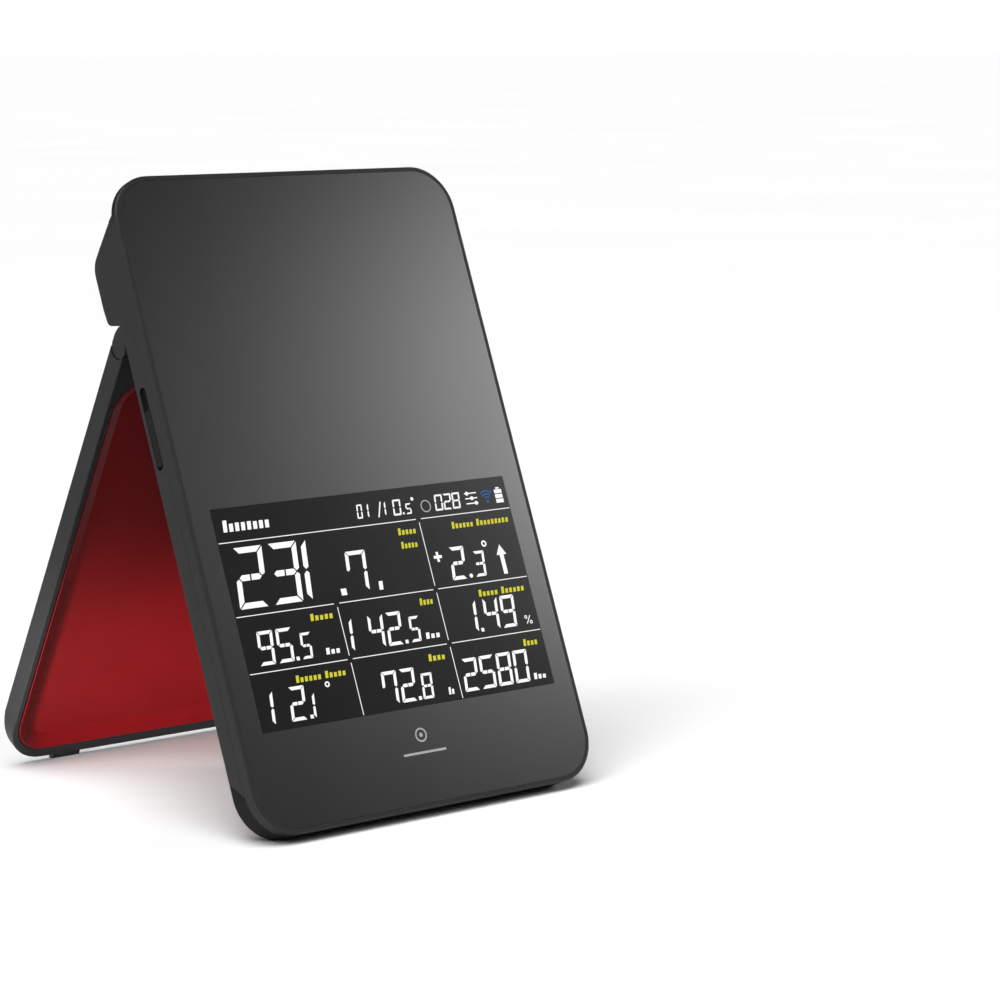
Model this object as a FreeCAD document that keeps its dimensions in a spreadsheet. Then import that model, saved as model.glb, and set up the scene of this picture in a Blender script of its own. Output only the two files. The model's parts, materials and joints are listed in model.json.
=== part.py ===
import FreeCAD, Part

# Portable radar launch monitor.  A flat electronics slab leans back on a stand
# that is hinged under a thicker hump near the top of its back.
#
# Every piece of the slab is drawn in the slab's own axes: X across it, Y from
# its front face to its back, Z up along its front face from the bottom edge.
# Every piece of the stand is drawn in the stand's axes: X across it, Y from
# the face that looks at the slab to the outer face, Z up to the hinge axis at
# the origin.  Each piece's Placement then leans it into the standing pose,
# with +Z up and the origin at the middle of the footprint.

import math
import os
import types

import Sketcher
from FreeCAD import Placement, Rotation, Vector

DRIVING_DIMENSIONS = {
    # Outside of the slab.
    "body_width": 127.0,
    "body_height": 198.0,
    "corner_radius": 14.0,
    "seam_depth": 4.4,
    "slab_depth": 10.5,
    "wall": 1.8,
    "back_wall": 1.6,
    "lean": 22.0,
    "front_edge_height": 3.2,
    # Hump at the top of the back.
    "hump_depth": 17.3,
    "hump_floor": 155.8,
    "hump_lip": 157.8,
    "hump_lip_depth": 16.7,
    "hump_belly": 163.0,
    "hump_shoulder": 176.4,
    "roof_seam": 185.6,
    "top_thickness": 2.4,
    # Front panel and display.
    "rim_width": 1.4,
    "panel_recess": 0.1,
    "panel_thickness": 1.2,
    "ledge_front": 1.5,
    "ledge_back": 2.3,
    "window_width": 110.5,
    "window_low": 30.0,
    "window_high": 96.4,
    # Stand and hinge.
    "hinge_height": 150.6,
    "hinge_gap": 0.3,
    "stand_tilt": 28.0,
    "stand_thickness": 7.0,
    "stand_length": 152.3,
    "stand_rim": 1.5,
    "stand_bottom_rim": 2.4,
    "stand_back": 1.5,
    "stand_bevel_depth": 4.8,
    "stand_bevel_height": 17.0,
    "tray_top": 9.0,
    "tray_depth": 2.6,
    "tray_slope": 4.4,
    "recess_depth": 3.8,
    "recess_slope": 6.24,
    "ear_radius": 3.5,
    "ear_width": 6.0,
    "ear_inset": 0.3,
    "shoulder_drop": 1.6,
    "pin_radius": 1.25,
    "pin_length": 18.0,
    "pin_margin": 1.5,
    "running_gap": 0.05,
    "part_gap": 0.3,
    # Rubber heel under the slab.
    "heel_back": 18.4,
    "heel_front": 13.0,
    "heel_groove": 0.35,
    "tongue_half": 52.0,
    # Side port, its cover and the power button.
    "port_centre": 7.2,
    "port_slot_width": 3.4,
    "port_slot_low": 111.0,
    "port_slot_high": 136.0,
    "port_cover_high": 129.0,
    "port_slot_depth": 1.3,
    "socket_height": 120.0,
    "button_height": 122.0,
    "button_travel": 0.5,
    # Edges.
    "rim_chamfer": 0.4,
    "seam_chamfer": 0.15,
    "back_edge": 0.4,
    # Display behind the panel.
    "glass_front": 1.35,
    "glass_thickness": 1.1,
    "glass_border": 1.1,
    "glass_overlap": 2.4,
    "guide_front": 2.5,
    "guide_thickness": 1.7,
    "display_back": 4.8,
    # Battery.
    "cell_front": 5.2,
    "cell_back": 8.5,
    "cell_half": 46.0,
    "cell_low": 31.0,
    "cell_high": 92.0,
    # Circuit boards and what sits on them.
    "board_thickness": 1.0,
    "radar_front": 3.4,
    "radar_half": 44.0,
    "radar_low": 109.5,
    "radar_high": 176.5,
    "patch_size": 3.4,
    "patch_step": 6.4,
    "patch_thickness": 0.1,
    "shield_half": 22.0,
    "shield_low": 122.0,
    "shield_high": 160.0,
    "shield_depth": 2.6,
    "shield_sheet": 0.3,
    "board_front": 9.2,
    "board_half": 52.0,
    "board_low": 159.2,
    "board_high": 178.4,
    # Loudspeaker in the hump.
    "speaker_height": 167.3,
    "speaker_front": 11.6,
    "speaker_back": 14.6,
    "speaker_half": 15.0,
    # Screws.
    "case_screw_shank": 0.95,
    "case_screw_head": 1.8,
    "small_screw_shank": 0.75,
    "small_screw_head": 1.6,
}

# Screws that close the case: three heights up each side.
CASE_SCREW_ACROSS = 59.2
CASE_SCREW_HEIGHTS = (26.0, 82.0, 140.0)
RADAR_SCREWS = ((-41.0, 113.0), (41.0, 113.0), (-41.0, 173.0), (41.0, 173.0))
BOARD_SCREWS = ((-47.0, 162.5), (47.0, 162.5), (-47.0, 174.5), (47.0, 174.5))
FOOT_ACROSS = 40.0
SIDES = (-1, 1)

doc = FreeCAD.newDocument("LaunchMonitor")
sheet = doc.addObject("Spreadsheet::Sheet", "Dims")


class Size:
    """A length that carries its number and the sheet expression it comes from."""

    def __init__(self, text, value):
        self.text = text
        self.value = value

    def __add__(self, other):
        other = as_size(other)
        return Size(f"({self.text} + {other.text})", self.value + other.value)

    def __sub__(self, other):
        other = as_size(other)
        return Size(f"({self.text} - {other.text})", self.value - other.value)

    def __mul__(self, other):
        other = as_size(other)
        return Size(f"({self.text} * {other.text})", self.value * other.value)

    def __truediv__(self, other):
        other = as_size(other)
        return Size(f"({self.text} / {other.text})", self.value / other.value)

    def __neg__(self):
        return Size(f"(0 - {self.text})", -self.value)

    __radd__ = __add__
    __rmul__ = __mul__

    def __rsub__(self, other):
        return as_size(other) - self


def as_size(item):
    """A plain number counts as a size whose expression is the number itself."""
    if isinstance(item, Size):
        return item
    return Size(f"({float(item)})", float(item))


def fill_sheet():
    """Put each driving dimension in the sheet and return them by name."""
    sizes = {}
    for row, (alias, value) in enumerate(DRIVING_DIMENSIONS.items(), start=1):
        sheet.set(f"A{row}", alias)
        sheet.set(f"B{row}", str(value))
        sheet.setAlias(f"B{row}", alias)
        sizes[alias] = Size(f"Dims.{alias}", value)
    doc.recompute()
    return types.SimpleNamespace(**sizes)


dims = fill_sheet()
half_width = dims.body_width / 2
hinge_depth = dims.slab_depth + dims.hinge_gap + dims.stand_thickness / 2
half_stand = dims.stand_thickness / 2
recess_back = dims.recess_depth - half_stand
ear_inner = half_width - dims.ear_width
panel_back = dims.panel_recess + dims.panel_thickness
inner_half = half_width - dims.wall
rear_inner = dims.slab_depth - dims.back_wall
beyond = dims.slab_depth + 1
roof_rise = (dims.roof_seam - dims.hump_shoulder) / (dims.hump_depth - dims.seam_depth)
radar_back = dims.radar_front + dims.board_thickness
board_back = dims.board_front + dims.board_thickness
knuckle_half = ear_inner - dims.part_gap
pin_end = half_width - dims.pin_margin
slab_nodes = {}
stand_nodes = {}


# ---------------------------------------------------------------- sketching

def bind(thing, prop, size):
    thing.setExpression(prop, as_size(size).text)


def constrain(sketch, kind, references, size):
    """Add a dimension to a sketch and tie it to the sheet."""
    size = as_size(size)
    index = sketch.addConstraint(Sketcher.Constraint(kind, *references, size.value))
    name = f"size_{index}"
    sketch.renameConstraint(index, name)
    bind(sketch, f"Constraints.{name}", size)


def place_point(sketch, geometry, point, across, up):
    """Dimension a point from the sketch's origin."""
    for kind, size in (("DistanceX", as_size(across)), ("DistanceY", as_size(up))):
        if size.value < 0:
            constrain(sketch, kind, (geometry, point, -1, 1), -size)
        else:
            constrain(sketch, kind, (-1, 1, geometry, point), size)


def polygon(*corners):
    """A closed outline of straight lines through the corners."""
    def draw(sketch):
        points = [Vector(as_size(x).value, as_size(y).value, 0) for x, y in corners]
        count = len(points)
        first = sketch.GeometryCount
        for index in range(count):
            line = Part.LineSegment(points[index], points[(index + 1) % count])
            sketch.addGeometry(line, False)
        for index in range(count):
            following = first + (index + 1) % count
            sketch.addConstraint(Sketcher.Constraint("Coincident", first + index, 2, following, 1))
        for index, (across, up) in enumerate(corners):
            place_point(sketch, first + index, 1, across, up)
    return draw


def rectangle(left, right, low, high):
    return polygon((left, low), (right, low), (right, high), (left, high))


def rounded_rectangle(left, right, low, high, radius):
    """A rectangle whose four corners are equal arcs."""
    def draw(sketch):
        x0, x1, y0, y1, r = (as_size(s).value for s in (left, right, low, high, radius))
        first = sketch.GeometryCount
        straight = (((x0 + r, y0), (x1 - r, y0)), ((x1, y0 + r), (x1, y1 - r)),
                    ((x1 - r, y1), (x0 + r, y1)), ((x0, y1 - r), (x0, y0 + r)))
        centres = ((x1 - r, y0 + r), (x1 - r, y1 - r), (x0 + r, y1 - r), (x0 + r, y0 + r))
        for start, end in straight:
            sketch.addGeometry(Part.LineSegment(Vector(*start, 0), Vector(*end, 0)), False)
        for quarter, centre in enumerate(centres):
            circle = Part.Circle(Vector(*centre, 0), Vector(0, 0, 1), r)
            begin = math.radians(90 * (quarter - 1))
            sketch.addGeometry(Part.ArcOfCircle(circle, begin, begin + math.pi / 2), False)
        for side in range(4):
            line = first + side
            arc = first + 4 + side
            following = first + (side + 1) % 4
            sketch.addConstraint(Sketcher.Constraint("Tangent", line, 2, arc, 1))
            sketch.addConstraint(Sketcher.Constraint("Tangent", arc, 2, following, 1))
            direction = "Vertical" if side % 2 else "Horizontal"
            sketch.addConstraint(Sketcher.Constraint(direction, line))
            if side:
                sketch.addConstraint(Sketcher.Constraint("Equal", first + 4, arc))
        constrain(sketch, "Radius", (first + 4,), radius)
        for kind, line, size in (("DistanceX", 3, left), ("DistanceX", 1, right),
                                 ("DistanceY", 0, low), ("DistanceY", 2, high)):
            size = as_size(size)
            if size.value < 0:
                constrain(sketch, kind, (first + line, 1, -1, 1), -size)
            else:
                constrain(sketch, kind, (-1, 1, first + line, 1), size)
    return draw


def circles(centres, radius):
    """One circle of the same radius at each centre."""
    def draw(sketch):
        for across, up in centres:
            centre = Vector(as_size(across).value, as_size(up).value, 0)
            circle = Part.Circle(centre, Vector(0, 0, 1), as_size(radius).value)
            index = sketch.addGeometry(circle, False)
            place_point(sketch, index, 3, across, up)
            constrain(sketch, "Radius", (index,), radius)
    return draw


# ----------------------------------------------------------------- features

def new_body(name, home):
    body = doc.addObject("PartDesign::Body", name)
    body.Label = name
    body.AllowCompound = True
    home[name] = body
    return body


def sketch_on(body, role, offset, draw):
    sketch = body.newObject("Sketcher::SketchObject", f"{body.Name}_sketch")
    plane = [item for item in body.Origin.OriginFeatures if item.Role == role][0]
    sketch.AttachmentSupport = [(plane, "")]
    sketch.MapMode = "FlatFace"
    bind(sketch, "AttachmentOffset.Base.z", offset)
    draw(sketch)
    return sketch


def shape_between(body, facing, start, end, draw, cut=False):
    """Pad or pocket an outline from start to end along one axis.

    Facing front, the outline is (across, up) and the depth runs along Y;
    facing side, it is (depth, up) and runs along X.
    """
    start = as_size(start)
    role = {"front": "XZ_Plane", "side": "YZ_Plane"}[facing]
    offset = -start if facing == "front" else start
    sketch = sketch_on(body, role, offset, draw)
    before = body.Shape.Volume if body.Tip is not None else 0.0
    kind = "Pocket" if cut else "Pad"
    feature = body.newObject(f"PartDesign::{kind}", f"{body.Name}_{kind.lower()}")
    feature.Profile = sketch
    feature.Reversed = (facing == "front") != cut
    bind(feature, "Length", as_size(end) - start)
    doc.recompute()
    change = body.Shape.Volume - before
    if (change < 0) != cut or change == 0:
        raise RuntimeError(f"{body.Label}: {feature.Name} changed the volume by {change}")
    return feature


def dress(body, kind, size, pick):
    """Fillet or chamfer the edges of the body that pick accepts."""
    base = body.Tip
    names = [f"Edge{number}" for number, edge in enumerate(base.Shape.Edges, start=1)
             if pick(edge.BoundBox)]
    if not names:
        raise RuntimeError(f"{body.Label}: no edge to {kind}")
    feature = body.newObject(f"PartDesign::{kind}", f"{body.Name}_{kind.lower()}")
    feature.Base = (base, names)
    bind(feature, "Radius" if kind == "Fillet" else "Size", size)
    doc.recompute()
    if not feature.isValid():
        raise RuntimeError(f"{body.Label}: {kind} of {len(names)} edges failed")
    return feature


def near(first, second, slack=0.02):
    return abs(first - as_size(second).value) < slack


def across_edge(depth, up):
    """Picks the edge that runs across the part at this depth and height."""
    def pick(box):
        return (near(box.YMin, depth) and near(box.YMax, depth)
                and near(box.ZMin, up) and near(box.ZMax, up) and box.XLength > 1)
    return pick


def at_depth(depth):
    """Picks every edge that lies in one plane parallel to the front."""
    return lambda box: near(box.YMin, depth) and near(box.YMax, depth)


def around(centre, half):
    """Low and high values either side of a centre."""
    return as_size(centre) - half, as_size(centre) + half


def sides_of(inner, outer):
    """Low and high values of the same stretch on the left and on the right."""
    return ((-as_size(outer), -as_size(inner)), (as_size(inner), as_size(outer)))


# --------------------------------------------------------------- primitives

def box(name, across, depth, up):
    """A block between the low and high values on each axis."""
    item = doc.addObject("Part::Box", name)
    for prop, axis, (low, high) in (("Length", "x", across), ("Width", "y", depth),
                                    ("Height", "z", up)):
        bind(item, prop, as_size(high) - low)
        bind(item, f"Placement.Base.{axis}", low)
    return item


def rod(name, axis, base, radius, length):
    """A cylinder from its base centre along +X, +Y or +Z."""
    turn = {"x": Rotation(Vector(0, 1, 0), 90), "y": Rotation(Vector(1, 0, 0), -90),
            "z": Rotation()}[axis]
    item = doc.addObject("Part::Cylinder", name)
    item.Placement = Placement(Vector(), turn)
    bind(item, "Radius", radius)
    bind(item, "Height", length)
    for letter, size in zip("xyz", base):
        bind(item, f"Placement.Base.{letter}", size)
    return item


def gather(name, items, home, fused=False):
    """One sub-part from its solids: fused into one, or kept separate."""
    if fused:
        whole = doc.addObject("Part::MultiFuse", name)
        whole.Shapes = items
    else:
        whole = doc.addObject("Part::Compound", name)
        whole.Links = items
    whole.Label = name
    home[name] = whole
    return whole


def cut_away(name, base, tool, home=None):
    result = doc.addObject("Part::Cut", name)
    result.Base = base
    result.Tool = tool
    if home is not None:
        result.Label = name
        home[name] = result
    return result


# -------------------------------------------------------------- case pieces

def slab_outline(inset=0.0):
    """The slab's rounded outline, seen from the front, drawn in by inset."""
    return rounded_rectangle(inset - half_width, half_width - inset, as_size(inset),
                             dims.body_height - inset, dims.corner_radius - inset)


def full_width(body, draw, cut=False):
    """A side outline carried across the whole slab, and past it when it cuts."""
    reach = half_width + 1 if cut else half_width
    return shape_between(body, "side", -reach, reach, draw, cut)


def case_screw_centres():
    return [(side * CASE_SCREW_ACROSS, up) for side in SIDES for up in CASE_SCREW_HEIGHTS]


def outer_edge(depth):
    """Picks the slab's outermost edge at this depth, all the way round."""
    def pick(box):
        outermost = (near(box.XMin, -half_width) or near(box.XMax, half_width)
                     or near(box.ZMin, 0) or near(box.ZMax, dims.body_height))
        return at_depth(depth)(box) and outermost
    return pick


def front_frame():
    """Front half of the case: a thin rim round the panel and a ledge behind it."""
    body = new_body("front_frame", slab_nodes)
    ledge = (dims.ledge_front, dims.ledge_back)
    boss_radius, pilot_radius = 2.1, 1.0
    post_radius, post_pilot, pilot_front = 2.4, 0.8, 2.0
    clear = 2.6
    opening = dims.window_width / 2 + 1.35
    aerial_half, aerial_low, aerial_high = 37.5, 112.0, 174.0
    room_high = 183.4
    shape_between(body, "front", 0, dims.seam_depth, slab_outline())
    dress(body, "Chamfer", dims.rim_chamfer, at_depth(0))
    dress(body, "Chamfer", dims.seam_chamfer, outer_edge(dims.seam_depth))
    shape_between(body, "front", 0, dims.ledge_front, slab_outline(dims.rim_width), cut=True)
    shape_between(body, "front", dims.ledge_back, dims.seam_depth,
                  rounded_rectangle(-inner_half, inner_half, dims.wall, room_high,
                                    dims.corner_radius - dims.wall), cut=True)
    full_width(body, top_cutter(), cut=True)
    # Openings in the ledge for the display and for the radar's view.
    shape_between(body, "front", *ledge,
                  rectangle(-opening, opening, dims.window_low - clear, dims.window_high + clear), cut=True)
    shape_between(body, "front", *ledge,
                  rounded_rectangle(-aerial_half, aerial_half, aerial_low, aerial_high, 3), cut=True)
    # Bosses that the case screws and the radar board's screws bite into.
    shape_between(body, "front", dims.ledge_back, dims.seam_depth, circles(case_screw_centres(), boss_radius))
    shape_between(body, "front", dims.ledge_back, dims.radar_front, circles(RADAR_SCREWS, post_radius))
    shape_between(body, "front", pilot_front, dims.seam_depth,
                  circles(case_screw_centres(), pilot_radius), cut=True)
    shape_between(body, "front", pilot_front, dims.radar_front, circles(RADAR_SCREWS, post_pilot), cut=True)


def roof_height(depth):
    """Height at which the sloping roof passes this depth."""
    return dims.roof_seam + (dims.seam_depth - depth) * roof_rise


def top_cutter():
    """What is cut from the front half where the roof runs on into its thin top."""
    past_seam = dims.seam_depth + 1
    return polygon((past_seam, roof_height(past_seam)), (past_seam, dims.body_height + 2),
                   (dims.top_thickness, dims.body_height + 2),
                   (dims.top_thickness, roof_height(dims.top_thickness)))


def hump_cutter():
    """What is cut from a full-depth block to leave the slab and its hump."""
    clear = dims.hump_depth + 3
    before_seam = dims.seam_depth - 1
    return polygon((dims.slab_depth, -2), (dims.slab_depth, dims.hump_floor),
                   (dims.hump_lip_depth, dims.hump_lip), (dims.hump_depth, dims.hump_belly),
                   (dims.hump_depth, dims.hump_shoulder), (before_seam, roof_height(before_seam)),
                   (before_seam, dims.body_height + 2), (clear, dims.body_height + 2), (clear, -2))


def shape_case_back(body):
    """Outer form of the rear half: slab, hump and their rounded edges."""
    shoulder_round, lip_round = 6.5, 2.2
    shape_between(body, "front", dims.seam_depth, dims.hump_depth, slab_outline())
    full_width(body, hump_cutter(), cut=True)
    dress(body, "Fillet", shoulder_round, across_edge(dims.hump_depth, dims.hump_shoulder))
    dress(body, "Fillet", lip_round, across_edge(dims.hump_lip_depth, dims.hump_lip))
    dress(body, "Fillet", dims.back_edge, side_edges_of_hump())
    dress(body, "Fillet", dims.back_edge, side_edges_of_slab())
    dress(body, "Chamfer", dims.seam_chamfer, outer_edge(dims.seam_depth))


def side_edges_of_hump():
    """Picks the hump's outline where its back meets the two sides."""
    def pick(box):
        on_side = near(box.XMin, half_width) or near(box.XMax, -half_width)
        return on_side and box.YMax > dims.slab_depth.value + 0.02 and box.ZMin > dims.hump_floor.value + 0.5
    return pick


def side_edges_of_slab():
    """Picks the slab's straight rear edges below the hump."""
    def pick(box):
        on_side = near(box.XMin, half_width) or near(box.XMax, -half_width)
        return on_side and at_depth(dims.slab_depth)(box) and box.ZLength > 20
    return pick


def hollow_case_back(body):
    """Room inside the slab and the hump."""
    room_low, room_high = 21.0, 180.0
    hump_room_half = 60.0
    room_front = rear_inner - 0.5
    lip_inner = dims.hump_lip_depth - dims.back_wall
    back_inner = dims.hump_depth - dims.back_wall
    shoulder_inner = dims.hump_shoulder - 2.8
    roof_depth, roof_inner = dims.hump_depth - 3.7, dims.hump_shoulder + 0.5
    shape_between(body, "front", dims.seam_depth, rear_inner,
                  rounded_rectangle(-inner_half, inner_half, room_low, room_high, 3), cut=True)
    shape_between(body, "side", -hump_room_half, hump_room_half,
                  polygon((room_front, dims.hump_floor + dims.wall), (lip_inner, dims.hump_lip + dims.wall),
                          (back_inner, dims.hump_belly), (back_inner, shoulder_inner),
                          (roof_depth, roof_inner), (room_front, room_high)), cut=True)


def along_stand(rise, out):
    """Point in the slab's axes that lies this far up the open stand, and outward, from the hinge."""
    opened = math.radians(dims.lean.value + dims.stand_tilt.value)
    return (hinge_depth + as_size(out) * math.cos(opened) - as_size(rise) * math.sin(opened),
            dims.hinge_height + as_size(out) * math.sin(opened) + as_size(rise) * math.cos(opened))


def add_hinge_ears(body):
    """An ear near each side, below the hump, that carries a hinge pin."""
    root_depth = rear_inner + 0.4
    root_height = dims.hump_floor + 0.3
    # The ear's back runs on in line with the open stand's, and curves in under the hump.
    web = polygon((root_depth, dims.hinge_height), (hinge_depth, dims.hinge_height),
                  along_stand(0, dims.ear_radius), along_stand(2.4, dims.ear_radius),
                  along_stand(4.0, dims.ear_radius - 0.4), along_stand(5.1, dims.ear_radius - 0.8),
                  (root_depth, root_height))
    barrel = circles([(hinge_depth, dims.hinge_height)], dims.ear_radius)
    bore = circles([(hinge_depth, dims.hinge_height)], dims.pin_radius)
    outer = half_width - dims.ear_inset
    for stretch in sides_of(ear_inner, outer):
        shape_between(body, "side", *stretch, barrel)
        shape_between(body, "side", *stretch, web)
    for stretch in sides_of(ear_inner, pin_end):
        shape_between(body, "side", *stretch, bore, cut=True)


def heel_line(offset, cover):
    """Two points on the slanted top of the heel, past the back and past the seam."""
    slope = (dims.heel_back - dims.heel_front) / (dims.slab_depth - dims.seam_depth)
    back = (beyond, dims.heel_back + offset + slope)
    front = (dims.seam_depth - 1, dims.heel_front + offset - slope)
    return (back, front) if cover else (front, back)


def tongue_outline():
    """The rear housing's tongue that the heel is glued on."""
    depth, low, high = 8.7, 3.0, dims.heel_back + 1
    return polygon((dims.seam_depth, low), (depth, low), (depth, high), (dims.seam_depth, high))


def seat_heel(body):
    """Cut the bottom edge away for the rubber heel and leave its tongue."""
    back, front = heel_line(dims.heel_groove, True)
    full_width(body, polygon((front[0], -1), (back[0], -1), back, front), cut=True)
    shape_between(body, "side", -dims.tongue_half, dims.tongue_half, tongue_outline())


def rear_housing():
    """Rear half of the case with the hump, hinge ears, bosses and openings."""
    body = new_body("rear_housing", slab_nodes)
    shape_case_back(body)
    hollow_case_back(body)
    add_hinge_ears(body)
    seat_heel(body)
    # Bosses and counterbores of the case screws.
    boss, hole, counterbore, seat = 2.3, 1.1, 1.95, 9.0
    centres = case_screw_centres()
    shape_between(body, "front", dims.seam_depth, rear_inner + 0.2, circles(centres, boss))
    shape_between(body, "front", dims.seam_depth, dims.slab_depth, circles(centres, hole), cut=True)
    shape_between(body, "front", seat, dims.slab_depth, circles(centres, counterbore), cut=True)
    # Posts that carry the main board inside the hump.
    post, pilot, post_back, pilot_back = 2.2, 0.8, 15.9, 13.6
    shape_between(body, "front", board_back, post_back, circles(BOARD_SCREWS, post))
    shape_between(body, "front", board_back, pilot_back, circles(BOARD_SCREWS, pilot), cut=True)
    # Sound slots behind the loudspeaker.
    slot_low, slot_high, slot_half, row_half = 165.5, 173.0, 0.6, 12.0
    slot = shape_between(body, "front", dims.speaker_back + 0.4, dims.hump_depth,
                         rounded_rectangle(-row_half - slot_half, slot_half - row_half, slot_low, slot_high,
                                           0.55), cut=True)
    row_pattern(body, slot, row_half * 2, 9)
    # Recess and mouth of the side port, with a thicker wall behind them.
    pad_inner, pad_border = 60.2, 3.0
    shape_between(body, "side", -inner_half, -pad_inner,
                  rectangle(dims.seam_depth, rear_inner, dims.port_slot_low - pad_border,
                            dims.port_slot_high + pad_border))
    shape_between(body, "side", -half_width, dims.port_slot_depth - half_width, port_outline(), cut=True)
    shape_between(body, "side", -half_width, -pad_inner, socket_mouth(0.05), cut=True)
    # Hole for the power button.
    shape_between(body, "side", inner_half - 0.1, half_width, button_outline(0.2), cut=True)


def row_pattern(body, feature, length, count):
    """Repeat a feature along the part's width."""
    pattern = body.newObject("PartDesign::LinearPattern", f"{body.Name}_row")
    pattern.Originals = [feature]
    pattern.Direction = (feature.Profile[0], ["H_Axis"])
    pattern.Length = length
    pattern.Occurrences = count
    body.Tip = pattern
    doc.recompute()


def port_outline():
    """Pill-shaped outline on the side of the case."""
    half = dims.port_slot_width / 2
    return rounded_rectangle(*around(dims.port_centre, half), dims.port_slot_low, dims.port_slot_high,
                             half * 0.98)


def socket_mouth(gap):
    """Outline of the charging socket with a gap round it."""
    half_thick, half_wide, corner = 1.6, 4.5, 1.45
    return rounded_rectangle(*around(dims.port_centre, half_thick + gap),
                             *around(dims.socket_height, half_wide + gap), corner + gap)


def button_outline(gap, flange=0.0):
    """Outline of the power button with a gap round it; its flange is longer."""
    half_long, half_wide = 5.0, 1.6
    return rounded_rectangle(*around(dims.port_centre, half_wide + gap),
                             *around(dims.button_height, half_long + gap + flange), (half_wide + gap) * 0.97)


def ground_height(depth):
    """Height up the slab at which the ground passes this depth."""
    lean = math.radians(dims.lean.value)
    return (as_size(depth) * math.sin(lean) - dims.front_edge_height) / math.cos(lean)


def heel():
    """Rubber heel: wraps the bottom of the back and has a flat on the ground."""
    body = new_body("heel", slab_nodes)
    flat_start = 8.0
    back, front = heel_line(0, False)[::-1]
    shape_between(body, "front", dims.seam_depth, dims.slab_depth, slab_outline())
    dress(body, "Fillet", dims.back_edge, outer_edge(dims.slab_depth))
    full_width(body, polygon(front, back, (back[0], dims.body_height + 1), (front[0], dims.body_height + 1)),
               cut=True)
    shape_between(body, "side", -dims.tongue_half, dims.tongue_half, tongue_outline(), cut=True)
    full_width(body, polygon((flat_start, ground_height(flat_start)), (beyond, ground_height(beyond)),
                             (beyond, -2), (flat_start, -2)), cut=True)


def front_panel():
    """Tinted panel that fills the front inside the rim, with the display opening."""
    body = new_body("front_panel", slab_nodes)
    half = dims.window_width / 2
    fit_gap, corner = 0.1, 0.5
    shape_between(body, "front", dims.panel_recess, panel_back, slab_outline(dims.rim_width + fit_gap))
    shape_between(body, "front", dims.panel_recess, panel_back,
                  rounded_rectangle(-half, half, dims.window_low, dims.window_high, corner), cut=True)


def display_window():
    """Lens over the display, let into the panel."""
    body = new_body("display_window", slab_nodes)
    fit_gap, corner = 0.04, 0.46
    half = dims.window_width / 2 - fit_gap
    shape_between(body, "front", dims.panel_recess, panel_back,
                  rounded_rectangle(-half, half, dims.window_low + fit_gap, dims.window_high - fit_gap, corner))


def panel_tape():
    """Adhesive ring that holds the panel on its ledge."""
    body = new_body("panel_tape", slab_nodes)
    outer_inset, inner_inset, corner = 2.2, 6.25, 8.0
    inner = half_width - inner_inset
    shape_between(body, "front", panel_back, dims.ledge_front, slab_outline(outer_inset))
    shape_between(body, "front", panel_back, dims.ledge_front,
                  rounded_rectangle(-inner, inner, as_size(inner_inset), dims.body_height - inner_inset, corner),
                  cut=True)


# ---------------------------------------------------------- inside the case

def block(name, half, depth, up):
    """A box centred across the part."""
    return box(name, (-as_size(half), as_size(half)), depth, up)


def display_stack():
    """Liquid-crystal glass, light guide, its lamps and the frame behind them."""
    low = dims.window_low - dims.glass_overlap
    high = dims.window_high + dims.glass_overlap
    half = dims.window_width / 2 + dims.glass_border
    guide_back = dims.guide_front + dims.guide_thickness
    guide_inset, frame_inner, frame_outer, frame_edge = 0.45, 0.4, 0.35, 0.4
    glass = block("glass", half, (dims.glass_front, dims.glass_front + dims.glass_thickness), (low, high))
    gather("lcd_glass", [glass], slab_nodes)
    guide = block("guide", half - guide_inset, (dims.guide_front, guide_back), (low + 0.4, high - 0.4))
    gather("light_guide", [guide], slab_nodes)
    outer = block("frame_block", half + frame_outer, (dims.guide_front, dims.display_back),
                  (low - frame_edge, high + frame_edge))
    inner = block("frame_hollow", half - frame_inner, (dims.guide_front - 0.1, guide_back + 0.05),
                  (low + 0.35, high - 0.35))
    cut_away("display_frame", outer, inner, slab_nodes)
    strip_half, strip_low, strip_high = 48.0, 24.6, 26.6
    lamp_half, lamp_front, lamp_back = 1.6, 2.8, 4.0
    strip = block("lamp_strip", strip_half, (lamp_back, guide_back), (strip_low, strip_high))
    lamps = [box("lamp", around(across, lamp_half), (lamp_front, lamp_back), (25.2, 26.4))
             for across in range(-42, 43, 12)]
    gather("backlight_lamps", [strip] + lamps, slab_nodes, fused=True)


def display_ribbon():
    """Flat cable from the display up to the main board."""
    body = new_body("display_ribbon", slab_nodes)
    left, right, thick = -34.0, -14.0, 0.2
    near_depth, far_depth = dims.display_back + 0.05, 7.6
    low, bend_low, bend_high, high = 96.0, 101.0, 105.0, 158.6
    shape_between(body, "side", left, right,
                  polygon((near_depth, low), (near_depth, bend_low), (far_depth, bend_high), (far_depth, high),
                          (far_depth + thick, high), (far_depth + thick, bend_high - 0.1),
                          (near_depth + thick, bend_low - 0.1), (near_depth + thick, low)))


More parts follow.
